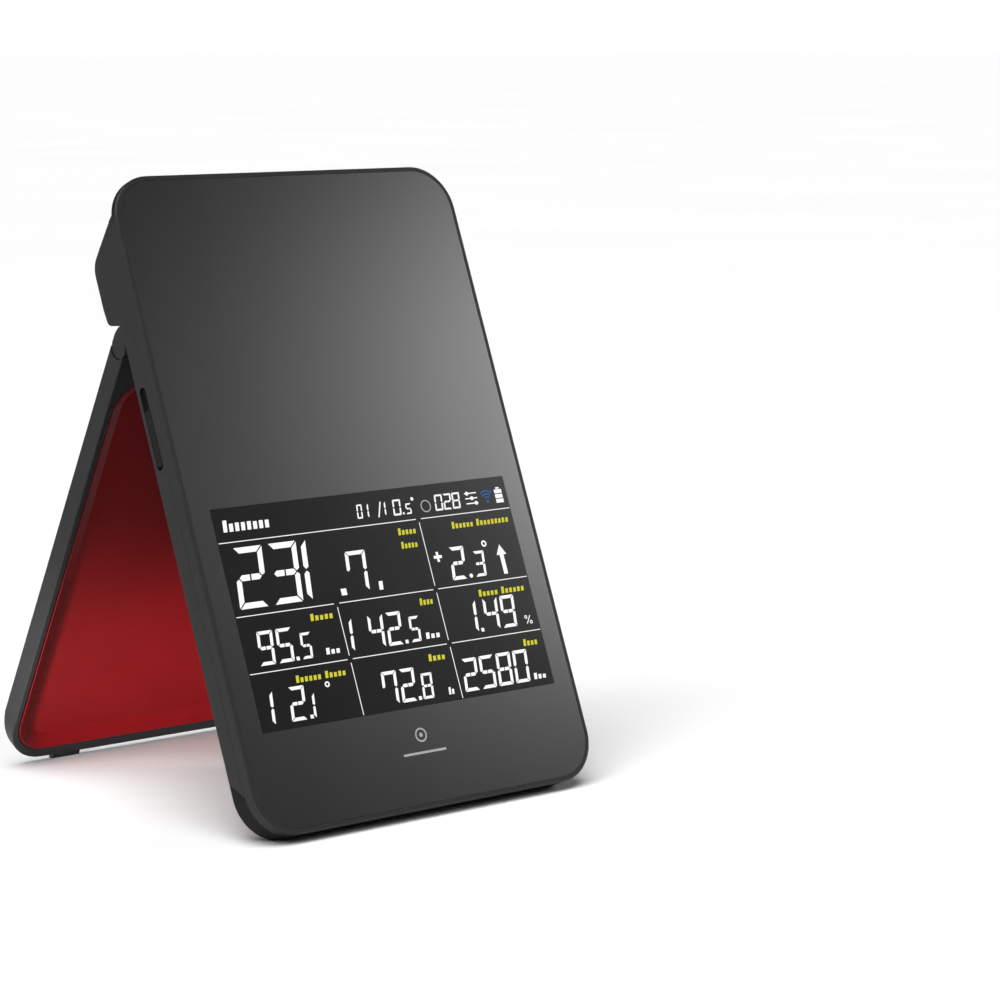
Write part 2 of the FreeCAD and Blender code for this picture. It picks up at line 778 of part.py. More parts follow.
def battery():
    """Lithium pouch cell, the tape under it and its pair of leads."""
    body = new_body("battery_cell", slab_nodes)
    shape_between(body, "front", dims.cell_front, dims.cell_back,
                  rounded_rectangle(-dims.cell_half, dims.cell_half, dims.cell_low, dims.cell_high, 3))
    dress(body, "Fillet", 1.2, at_depth(dims.cell_front))
    tape = block("battery_tape", dims.cell_half - 10, (dims.cell_back, rear_inner),
                 (dims.cell_low + 5, dims.cell_high - 6))
    gather("battery_tape", [tape], slab_nodes)
    board_left, board_right, board_depths = 28.0, 44.0, (5.4, 6.4)
    board_high = dims.cell_high + 4
    board = box("battery_board", (board_left, board_right), board_depths, (dims.cell_high, board_high))
    gather("battery_board", [board], slab_nodes)
    lead_radius, lead_depth, lead_length, lead_places = 0.5, 5.9, 63.2, (46.0, 47.4)
    leads = [rod("lead", "z", (across, lead_depth, board_high), lead_radius, lead_length)
             for across in lead_places]
    # The leads start at the end of the protection board, one beside the other.
    leads.append(box("lead_end", (board_right, lead_places[1] + lead_radius), board_depths,
                     (board_high - 1.4, board_high)))
    gather("battery_leads", leads, slab_nodes, fused=True)


def radar():
    """Radar board with its patch aerials in front and a shield can behind."""
    body = new_body("radar_board", slab_nodes)
    hole = 0.95
    shape_between(body, "front", dims.radar_front, radar_back,
                  rounded_rectangle(-dims.radar_half, dims.radar_half, dims.radar_low, dims.radar_high, 2))
    shape_between(body, "front", dims.radar_front, radar_back, circles(RADAR_SCREWS, hole), cut=True)
    first_row, rows, columns = 118.0, 8, (-32, -26, -20, -14, 14, 20, 26, 32)
    patches = []
    for column in columns:
        for row in range(rows):
            low = first_row + row * dims.patch_step
            patches.append(box("patch", around(column, dims.patch_size / 2),
                               (dims.radar_front - dims.patch_thickness, dims.radar_front),
                               (low, low + dims.patch_size)))
    gather("patch_aerials", patches, slab_nodes)
    sheet_metal = dims.shield_sheet
    can = block("can_block", dims.shield_half, (radar_back, radar_back + dims.shield_depth),
                (dims.shield_low, dims.shield_high))
    hollow = block("can_hollow", dims.shield_half - sheet_metal,
                   (radar_back - 0.1, radar_back + dims.shield_depth - sheet_metal),
                   (dims.shield_low + sheet_metal, dims.shield_high - sheet_metal))
    cut_away("radar_shield", can, hollow, slab_nodes)
    chip_half, chip_thickness, chip_height = 6.0, 1.1, 140.0
    chip = block("chip", chip_half, (radar_back, radar_back + chip_thickness), around(chip_height, chip_half))
    gather("radar_chip", [chip], slab_nodes)


def main_board():
    """Main board in the hump, with its chips, wireless module and sockets."""
    body = new_body("main_board", slab_nodes)
    face = dims.board_front
    hole = 0.95
    shape_between(body, "front", face, board_back,
                  rounded_rectangle(-dims.board_half, dims.board_half, dims.board_low, dims.board_high, 1))
    shape_between(body, "front", face, board_back, circles(BOARD_SCREWS, hole), cut=True)
    chip_row, chip_half = 169.0, 6.0
    processor = block("processor_chip", chip_half, (face - 1, face), around(chip_row, chip_half))
    gather("processor", [processor], slab_nodes)
    memory = [box("memory_chip", (left, left + 8), (face - 0.9, face), around(chip_row, 5)) for left in (9, 19)]
    gather("memory_chips", memory, slab_nodes)
    module_left, module_right = -42.0, -26.0
    module = box("module", (module_left, module_right), (face - 1.8, face), around(chip_row, chip_half))
    gather("wireless_module", [module], slab_nodes)
    socket_low = dims.board_low + 0.1
    sockets = [box("ribbon_socket", (-34.5, -13.5), (face - 1.8, face), (socket_low, socket_low + 2.3)),
               box("lead_socket", (43, 50), (face - 4, face), (socket_low, socket_low + 1.1))]
    gather("board_sockets", sockets, slab_nodes)


def speaker():
    """Oval loudspeaker behind the sound slots, with a dust mesh."""
    centre = dims.speaker_height
    half = dims.speaker_half
    half_high, basket_wall, shelf = 7.5, 1.4, 13.2
    frame = new_body("speaker_frame", slab_nodes)
    shape_between(frame, "front", dims.speaker_front, dims.speaker_back,
                  rounded_rectangle(-half, half, *around(centre, half_high), 7))
    shape_between(frame, "front", shelf, dims.speaker_back,
                  rounded_rectangle(basket_wall - half, half - basket_wall,
                                    *around(centre, half_high - basket_wall), 6), cut=True)
    shape_between(frame, "front", dims.speaker_front, shelf, circles([(0, centre)], 4.3), cut=True)
    magnet = rod("magnet", "y", (0, dims.speaker_front - 1, centre), 4.2, 2.4)
    gather("speaker_magnet", [magnet], slab_nodes)
    cone = new_body("speaker_cone", slab_nodes)
    cone_wall, cone_front, cone_back = basket_wall + 0.1, 13.4, 14.2
    shape_between(cone, "front", cone_front, cone_back,
                  rounded_rectangle(cone_wall - half, half - cone_wall, *around(centre, half_high - cone_wall),
                                    5.9))
    shape_between(cone, "front", cone_front, cone_front + 0.3, circles([(0, centre)], 3.0), cut=True)
    mesh = block("mesh", half - 0.5, (14.75, 14.95), (164, 174.5))
    gather("speaker_mesh", [mesh], slab_nodes)


def side_port():
    """Charging socket on its small board, and the rubber cover over it."""
    body = new_body("usb_socket", slab_nodes)
    socket_length, end_wall, tongue_start = 7.3, 0.8, 1.2
    mouth = dims.port_slot_depth - half_width
    back = mouth + socket_length
    shell_half_thick, shell_half_wide = 1.3, 4.2
    tongue_half_thick, tongue_half_wide = 0.35, 3.3
    shape_between(body, "side", mouth, back, socket_mouth(0))
    shape_between(body, "side", mouth, back - end_wall,
                  rounded_rectangle(*around(dims.port_centre, shell_half_thick),
                                    *around(dims.socket_height, shell_half_wide), 1.2), cut=True)
    shape_between(body, "side", mouth + tongue_start, back - end_wall,
                  rectangle(*around(dims.port_centre, tongue_half_thick),
                            *around(dims.socket_height, tongue_half_wide)))
    board = box("usb_board_blank", (-60.0, -47), (4.5, dims.port_centre - 1.6), around(dims.socket_height, 9))
    gather("usb_board", [board], slab_nodes)


def cover_pivot():
    """Axis of the port cover's bend, in the slab's axes: across and up."""
    return 0.5 - half_width, dims.port_slot_low + 1.4


def port_cover():
    """Soft cover of the side port; its lower end is rounded about the bend."""
    across, up = cover_pivot()
    thickness, bend_radius, square_end = 1.0, 0.5, 2.0
    half = dims.port_slot_width / 2 - dims.part_gap
    skin = (-half_width, thickness - half_width)
    depth = around(dims.port_centre, half)
    high = dims.port_cover_high
    pill = new_body("cover_pill", {})
    shape_between(pill, "side", *skin, rounded_rectangle(*depth, up - bend_radius, high, half * 0.98))
    knuckle = rod("cover_knuckle", "y", (across, depth[0], up), bend_radius, half * 2)
    # The square upper end and everything above the bend.
    flap = box("cover_flap", skin, depth, (up, high))
    upper = box("cover_end", skin, depth, (high - square_end, high))
    envelope = gather("cover_envelope", [flap, knuckle], {}, fused=True)
    rounded = doc.addObject("Part::Common", "cover_rounded")
    rounded.Base = pill
    rounded.Tool = envelope
    gather("port_cover", [rounded, upper], slab_nodes, fused=True)


def power_button():
    """Pill-shaped key with a flange inside the wall, and the switch it presses."""
    body = new_body("power_button", slab_nodes)
    flange_face = inner_half - 0.2
    flange_thickness, flange_border, standing_proud = 1.0, 1.2, 0.4
    face = half_width + standing_proud
    shape_between(body, "side", flange_face, face, button_outline(0))
    shape_between(body, "side", flange_face - flange_thickness, flange_face, button_outline(0, flange_border))
    dress(body, "Fillet", 0.3, lambda edge: near(edge.XMin, face) and near(edge.XMax, face))
    tip = flange_face - flange_thickness - 0.1 - dims.button_travel
    plunger, case_depth, board_thickness = 0.8, 1.8, 1.0
    case_back = tip - plunger - case_depth
    switch = [box("switch_case", (case_back, tip - plunger), around(dims.port_centre, 1.5),
                  around(dims.button_height, 3)),
              rod("switch_plunger", "x", (tip - plunger, dims.port_centre, dims.button_height), 1.0, plunger)]
    gather("tact_switch", switch, slab_nodes, fused=True)
    board = box("switch_board_blank", (case_back - board_thickness, case_back), (4.8, 8.8),
                around(dims.button_height, 8))
    gather("switch_board", [board], slab_nodes)


def screws_between(name, centres, head, shank, head_radius, shank_radius, socket_radius):
    """A group of screws along Y; a socket is sunk 0.5 mm or so into each head."""
    body = new_body(name, slab_nodes)
    head_low, head_high = (as_size(end) for end in head)
    shape_between(body, "front", head_low, head_high, circles(centres, head_radius))
    shape_between(body, "front", *shank, circles(centres, shank_radius))
    middle = (head_low + head_high) / 2
    points_back = as_size(shank[0]).value < head_low.value
    socket = (middle, head_high) if points_back else (head_low, middle)
    shape_between(body, "front", *socket, circles(centres, socket_radius), cut=True)


def all_screws():
    small_head, small_shank = dims.small_screw_head, dims.small_screw_shank
    screws_between("case_screws", case_screw_centres(), (9.0, 10.2), (2.2, 9.0),
                   dims.case_screw_head, dims.case_screw_shank, 0.7)
    screws_between("radar_screws", RADAR_SCREWS, (radar_back, radar_back + 1), (2.1, radar_back),
                   small_head, small_shank, 0.6)
    screws_between("board_screws", BOARD_SCREWS, (dims.board_front - 1, dims.board_front),
                   (dims.board_front, 13.0), small_head, small_shank, 0.6)


def hinge_pins():
    """A steel pin in each ear, reaching into the stand's knuckle."""
    pins = [rod("hinge_pin", "x", (start, hinge_depth, dims.hinge_height), dims.pin_radius, dims.pin_length)
            for start in (pin_end - dims.pin_length, -pin_end)]
    gather("hinge_pins", pins, slab_nodes)


# --------------------------------------------------------------- the stand

def stand_shell():
    """Black outer shell of the stand with the knuckle along its top."""
    body = new_body("stand_shell", stand_nodes)
    spare = 20
    outer_round, inner_round = 0.5, 0.4
    shape_between(body, "front", -half_stand, half_stand,
                  rounded_rectangle(-half_width, half_width, -dims.stand_length, as_size(spare),
                                    dims.corner_radius))
    shape_between(body, "front", -half_stand, half_stand,
                  rectangle(-half_width - 1, half_width + 1, 0, spare + 1), cut=True)
    dress(body, "Fillet", outer_round, lambda edge: at_depth(half_stand)(edge) and edge.ZMin < -1)
    dress(body, "Fillet", inner_round, lambda edge: at_depth(-half_stand)(edge) and edge.ZMin < -1)
    # The lower end tapers to a thin edge.
    past_edge = 1 + 1 / dims.stand_bevel_height.value
    shape_between(body, "side", -half_width - 1, half_width + 1,
                  polygon((half_stand, dims.stand_bevel_height - dims.stand_length),
                          (half_stand - dims.stand_bevel_depth * past_edge, -dims.stand_length - 1),
                          (half_stand + 1, -dims.stand_length - 1),
                          (half_stand + 1, dims.stand_bevel_height - dims.stand_length)), cut=True)
    # Room for the ears, and square shoulders below them.
    for stretch in sides_of(knuckle_half, half_width):
        shape_between(body, "side", *stretch, circles([(0, 0)], dims.ear_radius + dims.part_gap), cut=True)
        shape_between(body, "side", *stretch,
                      rectangle(-half_stand, half_stand, -dims.shoulder_drop, 0.1), cut=True)
    shape_between(body, "side", -knuckle_half, knuckle_half, circles([(0, 0)], half_stand))
    # Sloping recess for the red tray, a hollow behind it, and a bore at each end for a bush.
    taper(body, "tray_recess", (-half_stand, 0), (recess_back, dims.recess_slope), cut=True)
    shape_between(body, "front", recess_back - 0.2, half_stand - dims.stand_back, hollow_outline(), cut=True)
    for stretch in sides_of(knuckle_half - bush_length() - 1, knuckle_half):
        shape_between(body, "side", *stretch, circles([(0, 0)], bush_radius()), cut=True)


def hollow_outline():
    """Outline of the air space between the tray and the shell's back."""
    side_inset, radius = 9.0, 5.0
    half = half_width - dims.stand_rim - side_inset
    return rounded_rectangle(-half, half, dims.stand_bevel_height + 0.5 - dims.stand_length,
                             -dims.tray_top - side_inset, radius)


def tray_outline(inset):
    """Outline of the tray, drawn in by inset."""
    inset = as_size(inset)
    half = half_width - dims.stand_rim - inset
    return rounded_rectangle(-half, half, dims.stand_bottom_rim - dims.stand_length + inset,
                             -dims.tray_top - inset, dims.corner_radius - dims.stand_rim - inset)


def taper(body, name, start, end, cut=False):
    """Straight-sided shape between two (depth, inset) outlines of the tray."""
    sections = [sketch_on(body, "XZ_Plane", -as_size(depth), tray_outline(inset)) for depth, inset in (start, end)]
    before = body.Shape.Volume if cut else 0
    loft = body.newObject("PartDesign::SubtractiveLoft" if cut else "PartDesign::AdditiveLoft", name)
    loft.Profile = sections[0]
    loft.Sections = sections[1:]
    loft.Ruled = True
    doc.recompute()
    if cut and body.Shape.Volume >= before:
        raise RuntimeError(name + " cut nothing")


def stand_tray():
    """Red tray that lines the inside of the stand, with sloping walls."""
    body = new_body("stand_tray", stand_nodes)
    front_gap, side_gap, back_gap, wall, lip_round = 0.2, 0.06, 0.05, 0.8, 0.2
    slope = dims.recess_slope / dims.recess_depth.value
    rim = slope * front_gap + side_gap
    front = front_gap - half_stand
    taper(body, "tray_block", (front, rim),
          (recess_back - back_gap, slope * (dims.recess_depth.value - back_gap) + side_gap))
    taper(body, "tray_hollow", (front, rim + wall),
          (front + dims.tray_depth, rim + wall + dims.tray_slope), cut=True)
    dress(body, "Fillet", lip_round, at_depth(front))


def bush_radius():
    return dims.pin_radius + 0.85


def bush_length():
    return dims.pin_length - dims.ear_width + 1.5


def hinge_bushes():
    """Plastic friction bushes in the stand that turn on the pins."""
    length = bush_length()
    bushes = []
    for start in (knuckle_half - length, -knuckle_half):
        outer = rod("bush_outer", "x", (start, 0, 0), bush_radius(), length)
        bore = rod("bush_bore", "x", (start - 1, 0, 0), dims.pin_radius + dims.running_gap, length + 2)
        bushes.append(cut_away("bush", outer, bore))
    gather("hinge_bushes", bushes, stand_nodes)


def foot_ground(depth):
    """Height in the stand's axes at which the ground passes this depth."""
    lean = math.radians(dims.lean.value)
    tilt = math.radians(dims.stand_tilt.value)
    axis_height = (dims.front_edge_height + dims.hinge_height * math.cos(lean)
                   - hinge_depth * math.sin(lean))
    return -(axis_height + as_size(depth) * math.sin(tilt)) / math.cos(tilt)


def stand_feet():
    """Two rubber feet under the stand's lower edge, flat on the ground."""
    body = new_body("stand_feet", stand_nodes)
    half_long, depth = 5.0, 2.0
    inner = 0.3 - half_stand
    outer = inner + depth
    profile = polygon((inner, -dims.stand_length), (inner, foot_ground(inner)),
                      (outer - 0.2, foot_ground(outer - 0.2)), (outer, -dims.stand_length))
    for side in SIDES:
        shape_between(body, "side", *around(side * FOOT_ACROSS, half_long), profile)


# ------------------------------------------------------------- final steps

def build_everything():
    front_frame()
    rear_housing()
    heel()
    front_panel()
    display_window()
    panel_tape()
    display_stack()
    display_ribbon()
    battery()
    radar()
    main_board()
    speaker()
    side_port()
    port_cover()
    power_button()
    all_screws()
    hinge_pins()
    stand_shell()
    stand_tray()
    hinge_bushes()
    stand_feet()


def hinge_point():
    """Hinge axis in standing pose, before the footprint is centred."""
    lean = Rotation(Vector(1, 0, 0), -dims.lean.value)
    along = lean.multVec(Vector(0, hinge_depth.value, dims.hinge_height.value))
    return along + Vector(0, 0, dims.front_edge_height.value)


def stand_everything_up(shift):
    """Lean the slab back and open the stand, moved by shift."""
    slab = Placement(Vector(0, 0, dims.front_edge_height.value) + shift,
                     Rotation(Vector(1, 0, 0), -dims.lean.value))
    stand = Placement(hinge_point() + shift, Rotation(Vector(1, 0, 0), dims.stand_tilt.value))
    for nodes, placement in ((slab_nodes, slab), (stand_nodes, stand)):
        for item in nodes.values():
            item.Placement = placement
    doc.recompute()
    return slab, stand


def overall_box():
    whole = FreeCAD.BoundBox()
    for nodes in (slab_nodes, stand_nodes):
        for item in nodes.values():
            whole.add(item.Shape.optimalBoundingBox(False))
    return whole


def check_document():
    for item in doc.Objects:
        if "Invalid" in item.State or "Error" in item.State:
            raise RuntimeError(f"{item.Label} is in state {item.State}")
    for nodes in (slab_nodes, stand_nodes):
        for name, item in nodes.items():
            if item.Shape.isNull() or not item.Shape.isValid():
                raise RuntimeError(f"{name} has no valid shape")


def write_parts():
    os.makedirs("parts", exist_ok=True)
    for nodes in (slab_nodes, stand_nodes):
        for name, item in nodes.items():
            item.Shape.exportStep(f"parts/{name}.step")
            print(f"{name}: {len(item.Shape.Solids)} solids, {item.Shape.Volume:.1f} mm3")


def report_places(slab, stand):
    """Print the joint axes and resting faces in the part's own frame."""
    across, up = cover_pivot()
    heel_depth, foot_depth = 9.5, -2.3
    cover = slab.multVec(Vector(across.value, dims.port_centre.value, up.value))
    hinge = slab.multVec(Vector(0, hinge_depth.value, dims.hinge_height.value))
    flat = slab.multVec(Vector(0, heel_depth, ground_height(heel_depth).value))
    foot = stand.multVec(Vector(FOOT_ACROSS, foot_depth, foot_ground(foot_depth).value))
    print("hinge", hinge, "cover bend", cover)
    print("heel flat", flat, "foot flat", foot)
    print("across the port", slab.Rotation.multVec(Vector(0, 1, 0)))
    print("box", overall_box())


build_everything()
stand_everything_up(Vector())
footprint = overall_box()
slab_placement, stand_placement = stand_everything_up(Vector(0, -footprint.Center.y, 0))
check_document()
write_parts()
report_places(slab_placement, stand_placement)
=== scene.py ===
"""Looks of the launch monitor: finishes, the figures on its display, studio and camera."""

import json
import math
import random
from typing import NamedTuple

import bmesh
import bpy
from mathutils import Matrix, Vector


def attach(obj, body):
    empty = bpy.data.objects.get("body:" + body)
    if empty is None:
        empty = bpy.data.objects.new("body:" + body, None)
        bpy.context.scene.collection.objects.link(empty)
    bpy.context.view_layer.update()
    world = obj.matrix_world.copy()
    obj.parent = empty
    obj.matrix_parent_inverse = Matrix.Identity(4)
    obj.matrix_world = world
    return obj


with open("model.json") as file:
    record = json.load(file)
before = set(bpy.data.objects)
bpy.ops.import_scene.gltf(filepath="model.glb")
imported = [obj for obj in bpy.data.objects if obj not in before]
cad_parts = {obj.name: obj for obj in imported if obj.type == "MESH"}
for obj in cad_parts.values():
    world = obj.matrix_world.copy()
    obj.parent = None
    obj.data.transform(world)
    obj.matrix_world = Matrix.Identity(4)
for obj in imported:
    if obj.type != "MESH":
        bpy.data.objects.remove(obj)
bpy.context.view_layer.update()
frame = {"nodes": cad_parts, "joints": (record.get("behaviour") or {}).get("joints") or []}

MM = 0.001

# ------------------------------------------------------------------ the frame

joints = {joint["name"]: joint for joint in frame["joints"]}
ACROSS = Vector(joints["stand_hinge"]["axis"]).normalized()
INWARD = -Vector(joints["port_cover_bend"]["axis"]).normalized()
UPWARD = ACROSS.cross(INWARD)


def reach(node, direction):
    """Lowest and highest point of a CAD node along a direction."""
    along = [vertex.co.dot(direction) for vertex in frame["nodes"][node].data.vertices]
    return min(along), max(along)


def face_axes(node, across_share):
    """Axes on a node's front face: X across, Y up, Z out, from its lower edge."""
    left, right = reach(node, ACROSS)
    across = left + (right - left) * across_share
    origin = ACROSS * across + UPWARD * reach(node, UPWARD)[0] + INWARD * reach(node, INWARD)[0]
    turn = Matrix((ACROSS, UPWARD, -INWARD)).transposed().to_4x4()
    return Matrix.Translation(origin) @ turn


WINDOW = face_axes("display_window", across_share=0.0)
PANEL = face_axes("front_panel", across_share=0.5)


def new_object(name, data):
    """Put data into the scene as an object of this name."""
    made = bpy.data.objects.new(name, data)
    bpy.context.scene.collection.objects.link(made)
    return made


# ------------------------------------------------------------------- finishes

def set_range(node, start, end, low, high):
    """Make a Map Range node turn start to end into low to high."""
    for name, number in (("From Min", start), ("From Max", end), ("To Min", low), ("To Max", high)):
        node.inputs[name].default_value = number


class Finish:
    """A procedural material under construction; sizes are in metres."""

    def __init__(self, name, **sockets):
        self.material = bpy.data.materials.new(name)
        self.material.use_nodes = True
        self.tree = self.material.node_tree
        self.shader = self.tree.nodes["Principled BSDF"]
        for socket, value in sockets.items():
            self.shader.inputs[socket.replace("_", " ")].default_value = value
        self.place = self.tree.nodes.new("ShaderNodeTexCoord").outputs["Object"]

    def node(self, kind, **settings):
        node = self.tree.nodes.new(kind)
        for name, value in settings.items():
            setattr(node, name, value)
        return node

    def join(self, source, target):
        self.tree.links.new(source, target)

    def noise(self, size, detail=3.0, stretch=(1.0, 1.0, 1.0)):
        """Cloudy noise whose blobs are about this size."""
        mapping = self.node("ShaderNodeMapping")
        mapping.inputs["Scale"].default_value = stretch
        self.join(self.place, mapping.inputs["Vector"])
        noise = self.node("ShaderNodeTexNoise")
        noise.inputs["Scale"].default_value = 1 / size
        noise.inputs["Detail"].default_value = detail
        self.join(mapping.outputs["Vector"], noise.inputs["Vector"])
        return noise.outputs["Fac"]

    def between(self, value, low, high, start=0.3, end=0.7):
        """Value, from start to end, turned into a number from low to high."""
        node = self.node("ShaderNodeMapRange")
        set_range(node, start, end, low, high)
        self.join(value, node.inputs["Value"])
        return node.outputs["Result"]

    def times(self, first, second):
        """The product of a value and another value or a plain number."""
        node = self.node("ShaderNodeMath", operation="MULTIPLY")
        self.join(first, node.inputs[0])
        if isinstance(second, float):
            node.inputs[1].default_value = second
        else:
            self.join(second, node.inputs[1])
        return node.outputs["Value"]

    def blend(self, share, first, second):
        """Colour from first to second as share goes from 0 to 1."""
        node = self.node("ShaderNodeMix", data_type="RGBA")
        self.join(share, node.inputs["Factor"])
        for name, colour in (("A", first), ("B", second)):
            socket = [s for s in node.inputs if s.name == name and s.type == "RGBA"][0]
            if isinstance(colour, tuple):
                socket.default_value = (*colour, 1.0)
            else:
                self.join(colour, socket)
        return [s for s in node.outputs if s.type == "RGBA"][0]

    def mottled(self, cloud, first, second):
        """Colour that drifts from first to second across the cloud."""
        return self.blend(self.between(cloud, 0.0, 1.0), first, second)

    def worn_and_highlit_edges(self, radius, patch):
        """Near 1 on outside edges, broken up into patches of about this size; it marks edge wear and also a
        painted highlight where edges would catch light.
        """
        rounded = self.node("ShaderNodeBevel", samples=4)
        rounded.inputs["Radius"].default_value = radius
        flat = self.node("ShaderNodeNewGeometry")
        agreement = self.node("ShaderNodeVectorMath", operation="DOT_PRODUCT")
        self.join(rounded.outputs["Normal"], agreement.inputs[0])
        self.join(flat.outputs["Normal"], agreement.inputs[1])
        edge = self.between(agreement.outputs["Value"], 1.0, 0.0, start=0.86, end=0.985)
        patchy = self.between(self.noise(patch, detail=5.0), 0.15, 1.0, start=0.38, end=0.62)
        return self.times(edge, patchy)

    def colour(self, source):
        self.join(source, self.shader.inputs["Base Color"])

    def roughness(self, source):
        self.join(source, self.shader.inputs["Roughness"])

    def bump(self, height, depth):
        """Raise the surface by up to this depth where the height value is high."""
        node = self.node("ShaderNodeBump")
        node.inputs["Distance"].default_value = depth
        node.inputs["Strength"].default_value = 1.0
        self.join(height, node.inputs["Height"])
        self.join(node.outputs["Normal"], self.shader.inputs["Normal"])


def case_plastic():
    """Black moulded plastic with a fine spark-eroded grain."""
    finish = Finish("case_plastic", Specular_IOR_Level=0.3)
    grain = finish.noise(size=0.00022, detail=2.0)
    cloud = finish.noise(size=0.012, detail=4.0)
    body = finish.mottled(cloud, (0.0075, 0.0075, 0.0077), (0.0105, 0.0105, 0.0108))
    # Lighter colour on the outside edges: partly rubbed wear, partly a painted highlight of edges catching
    # light.
    rubbed_and_highlit = (0.035, 0.035, 0.036)
    finish.colour(finish.blend(finish.worn_and_highlit_edges(radius=0.00035, patch=0.003), body, rubbed_and_highlit))
    finish.roughness(finish.between(cloud, 0.45, 0.54))
    finish.bump(grain, depth=0.000012)
    return finish.material


def panel_gloss():
    """Satin tinted panel: smooth, with faint handling marks in its sheen."""
    finish = Finish("panel_gloss", Specular_IOR_Level=0.5)
    smudge = finish.noise(size=0.03, detail=3.0, stretch=(1.0, 0.5, 0.5))
    etch = finish.noise(size=0.00008, detail=1.0)
    finish.colour(finish.mottled(smudge, (0.0045, 0.0045, 0.0047), (0.0055, 0.0055, 0.0057)))
    finish.roughness(finish.between(smudge, 0.274, 0.286))
    finish.bump(etch, depth=0.000001)
    return finish.material


def display_black():
    """Dark lens over the display, with less glare than the panel."""
    finish = Finish("display_black", Specular_IOR_Level=0.085)
    haze = finish.noise(size=0.02, detail=3.0)
    finish.colour(finish.mottled(haze, (0.0095, 0.0095, 0.0099), (0.0110, 0.0110, 0.0114)))
    finish.roughness(finish.between(haze, 0.235, 0.245))
    finish.bump(finish.noise(size=0.0004, detail=2.0), depth=0.0000008)
    return finish.material


def tray_red():
    """Satin red moulding."""
    finish = Finish("tray_red", Specular_IOR_Level=0.12)
    cloud = finish.noise(size=0.02, detail=4.0)
    body = finish.mottled(cloud, (0.135, 0.0026, 0.0036), (0.155, 0.0032, 0.0046))
    # Lighter pink-red on the outside edges: partly rubbed wear, partly a painted highlight along the rim.
    rubbed_and_highlit = (0.30, 0.03, 0.035)
    finish.colour(finish.blend(finish.worn_and_highlit_edges(radius=0.0003, patch=0.002), body, rubbed_and_highlit))
    finish.roughness(finish.between(cloud, 0.36, 0.44))
    finish.bump(finish.noise(size=0.00025, detail=2.0), depth=0.000006)
    return finish.material


def rubber_black():
    """Soft-touch rubber: dull, dusty in its grain."""
    finish = Finish("rubber_black", Specular_IOR_Level=0.18)
    cloud = finish.noise(size=0.006, detail=5.0)
    grain = finish.noise(size=0.0003, detail=3.0)
    body = finish.mottled(cloud, (0.006, 0.006, 0.006), (0.010, 0.010, 0.0098))
    dust = (0.045, 0.044, 0.042)
    dusty = finish.times(finish.between(grain, 0.0, 1.0, start=0.55, end=0.8), 0.4)
    finish.colour(finish.blend(dusty, body, dust))
    finish.roughness(finish.between(cloud, 0.68, 0.82))
    finish.bump(grain, depth=0.00002)
    return finish.material


def plain_finish(name, first, second, rough, size=0.004, depth=0.000008, stretch=(1.0, 1.0, 1.0),
                 **sockets):
    """Two near shades, a varied sheen and a fine surface, for the smaller pieces."""
    finish = Finish(name, **sockets)
    cloud = finish.noise(size, 4.0, stretch)
    finish.colour(finish.mottled(cloud, first, second))
    finish.roughness(finish.between(cloud, rough - 0.05, rough + 0.05))
    finish.bump(finish.noise(size / 12, 2.0, stretch), depth)
    return finish.material


def woven_mesh():
    """Dust mesh of fine woven threads."""
    finish = Finish("mesh_fabric", Specular_IOR_Level=0.2)
    threads = []
    for direction in ("X", "Z"):
        wave = finish.node("ShaderNodeTexWave", bands_direction=direction)
        wave.inputs["Scale"].default_value = 900
        finish.join(finish.place, wave.inputs["Vector"])
        threads.append(wave.outputs["Fac"])
    weave = finish.times(*threads)
    gap, thread = (0.004, 0.004, 0.004), (0.03, 0.03, 0.03)
    finish.colour(finish.blend(weave, gap, thread))
    finish.roughness(finish.between(weave, 0.75, 0.9))
    finish.bump(weave, depth=0.00005)
    return finish.material


def circuit_board():
    """Green lacquer over copper tracks."""
    finish = Finish("board_green", Specular_IOR_Level=0.5)
    tracks = finish.node("ShaderNodeTexBrick")
    for name, number in (("Scale", 260), ("Mortar Size", 0.06)):
        tracks.inputs[name].default_value = number
    for name, colour in (("Color1", (0.006, 0.075, 0.025)), ("Color2", (0.008, 0.09, 0.03)),
                         ("Mortar", (0.02, 0.16, 0.06))):
        tracks.inputs[name].default_value = (*colour, 1.0)
    turned = finish.node("ShaderNodeMapping")
    turned.inputs["Rotation"].default_value = (math.radians(90), 0, 0)
    finish.join(finish.place, turned.inputs["Vector"])
    finish.join(turned.outputs["Vector"], tracks.inputs["Vector"])
    finish.colour(tracks.outputs["Color"])
    finish.roughness(finish.between(finish.noise(size=0.004), 0.3, 0.42))
    finish.bump(tracks.outputs["Fac"], depth=0.00001)
    return finish.material


def shaded(colour, share):
    """The colour with each of its channels scaled by the share."""
    return tuple(channel * share for channel in colour)


def lit(name, colour, glow=1.0):
    """Lit display segments: an even glow that varies a little from place to place."""
    finish = Finish(name, Roughness=0.5, Specular_IOR_Level=0.1, Emission_Strength=glow)
    backlight = finish.noise(size=0.015, detail=2.0)
    glowing = finish.mottled(backlight, shaded(colour, 0.94), colour)
    film = shaded(colour, 0.1)
    finish.colour(finish.mottled(backlight, film, shaded(film, 1.2)))
    finish.join(glowing, finish.shader.inputs["Emission Color"])
    finish.roughness(finish.between(backlight, 0.45, 0.55))
    finish.bump(finish.noise(size=0.0002), depth=0.000001)
    return finish.material


